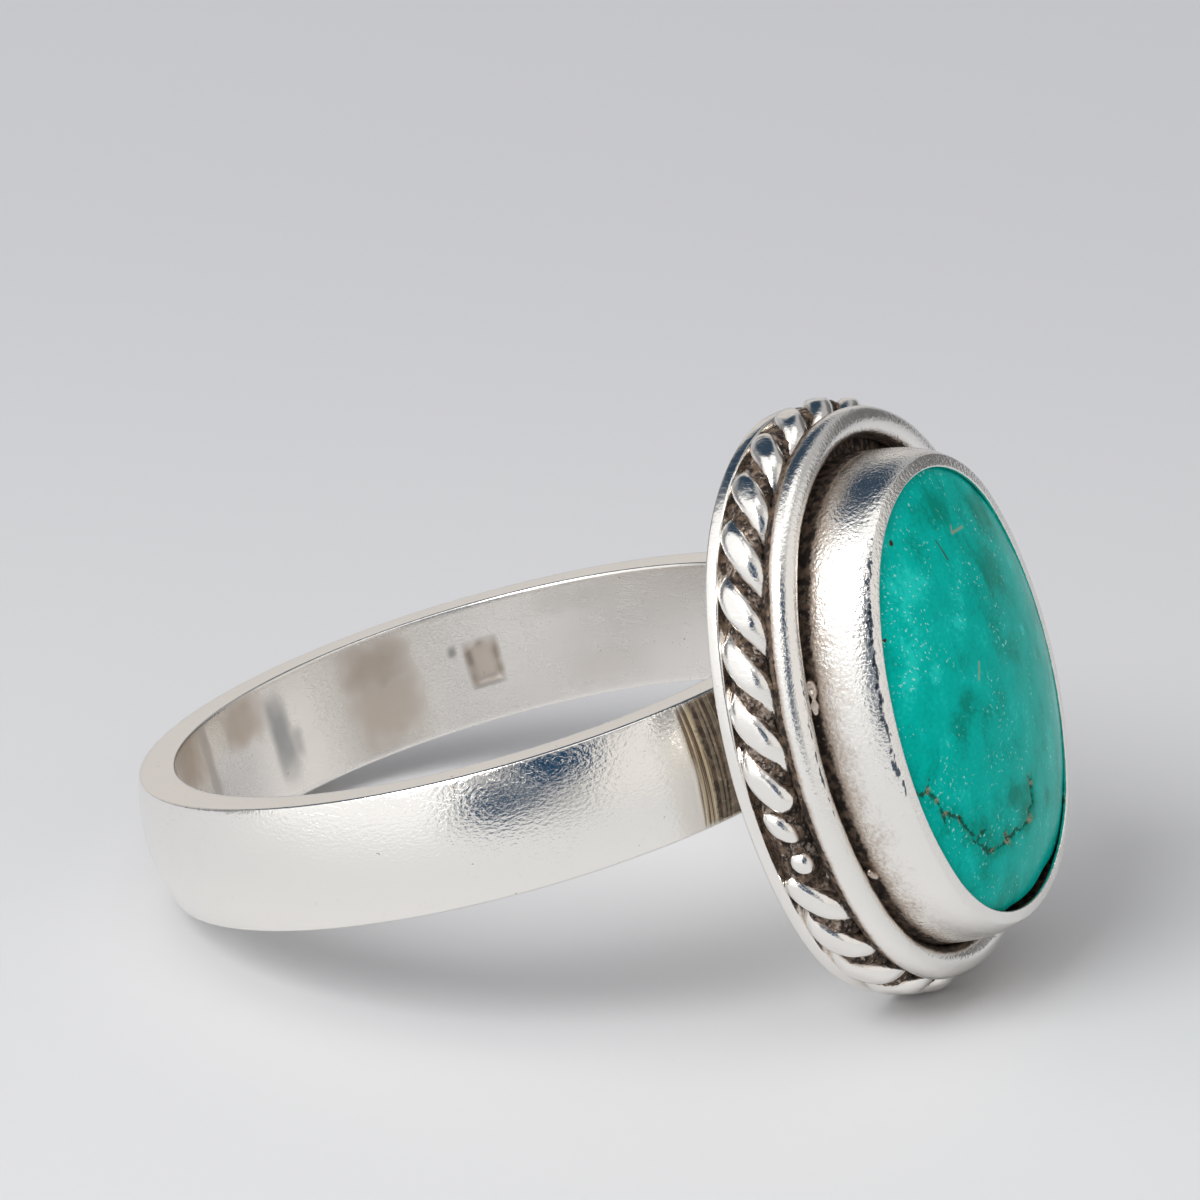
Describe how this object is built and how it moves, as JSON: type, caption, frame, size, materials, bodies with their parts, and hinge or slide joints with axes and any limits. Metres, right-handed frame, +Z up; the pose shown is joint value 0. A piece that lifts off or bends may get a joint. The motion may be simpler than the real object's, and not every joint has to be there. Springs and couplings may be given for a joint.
{
  "type": "gemstone ring",
  "caption": "Silver finger ring with an oval turquoise cabochon in a bezel, ringed by a plain wire and a twisted wire, lying on its side.",
  "frame": {"origin": "on the surface that the ring rests on, under the middle of the ring's bounding box", "axes": "+X from the band towards the stone's side of the ring, +Z up from the surface, +Y across the finger hole; the finger hole's axis leans 17.3 degrees from +Z towards -X"},
  "size_m": [0.0254, 0.02, 0.0155],
  "materials": {
    "silver": "polished sterling silver, lightly scratched, with dark tarnish in the recesses",
    "turquoise": "polished turquoise cabochon, mottled green-blue with a brown matrix vein"
  },
  "bodies": {
    "root": {"silver_ring": "silver", "stone": "turquoise"}
  },
  "joints": []
}
